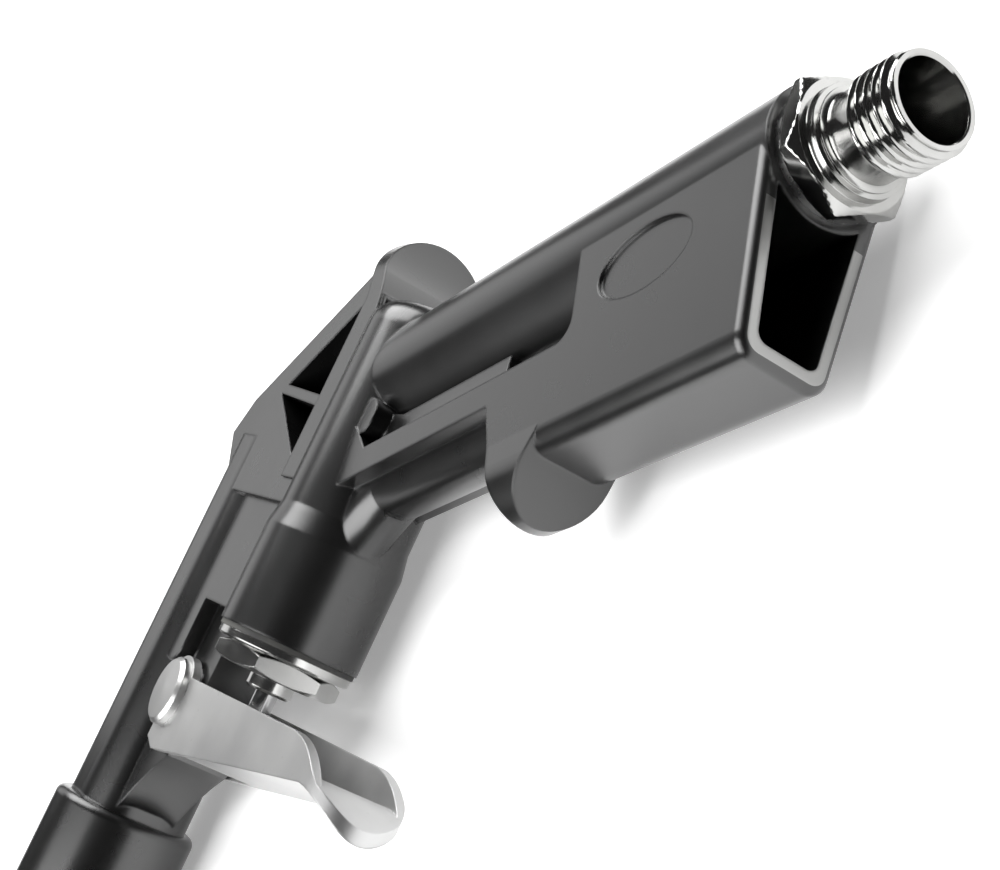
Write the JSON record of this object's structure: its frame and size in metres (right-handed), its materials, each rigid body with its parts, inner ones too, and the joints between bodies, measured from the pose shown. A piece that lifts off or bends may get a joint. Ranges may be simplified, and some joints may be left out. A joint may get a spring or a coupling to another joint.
{
  "type": "air inflator gun",
  "caption": "Hand air gun of a portable tire inflator: die-cast body with hollow grip, sheet-metal trigger lever, poppet valve, threaded air inlet and threaded hose outlet",
  "frame": {"origin": "centre of the air inlet's mouth, on the axis of its thread", "axes": "+X points to the rear of the gun along the barrel and the valve axis, +Y up towards the barrel, +Z to the gun's left side, so the gun lies on its right side"},
  "size_m": [0.1637, 0.1602, 0.025],
  "materials": {
    "black_coat": "satin black powder coat on die-cast aluminium",
    "nickel": "bright nickel plate on turned brass",
    "zinc": "bright zinc plate on steel",
    "zinc_sheet": "bright zinc plate on pressed steel sheet",
    "steel": "ground stainless steel",
    "brass": "turned brass",
    "rubber": "moulded nitrile rubber",
    "fibre": "pressed fibre sheet"
  },
  "bodies": {
    "gun": {"body_casting": "black_coat", "inlet_nipple": "nickel", "inlet_washer": "zinc", "inlet_filter": "brass", "valve_nut": "nickel", "valve_nut_gasket": "fibre", "stem_seal": "rubber", "gland_ring": "brass", "valve_cage": "brass", "valve_seat": "brass", "seat_o_ring": "rubber", "valve_spring": "steel", "pivot_bush": "brass", "pivot_washer_left": "steel", "pivot_washer_right": "steel", "passage_plug": "steel", "outlet_nipple": "nickel", "outlet_washer": "zinc"},
    "lever": {"trigger_lever": "zinc_sheet", "pivot_rivet": "zinc"},
    "stem": {"valve_stem": "steel", "valve_poppet": "brass", "poppet_seal": "rubber"}
  },
  "joints": [
    {"name": "lever_pull", "type": "hinge", "parent": "gun", "child": "lever", "pos_m": [-0.0979, 0.1285, 0], "axis": [0, 0, 1], "range_deg": [0, 8], "stiffness_Nm_per_rad": 1.2, "springref_deg": -11.46},
    {"name": "stem_slide", "type": "slide", "parent": "gun", "child": "stem", "axis": [1, 0, 0], "range_m": [0, 0.00277], "deforming": ["valve_spring"]}
  ],
  "couplings": [
    {"joint": "stem_slide", "follows": "lever_pull", "m_per_rad": 0.0198}
  ]
}
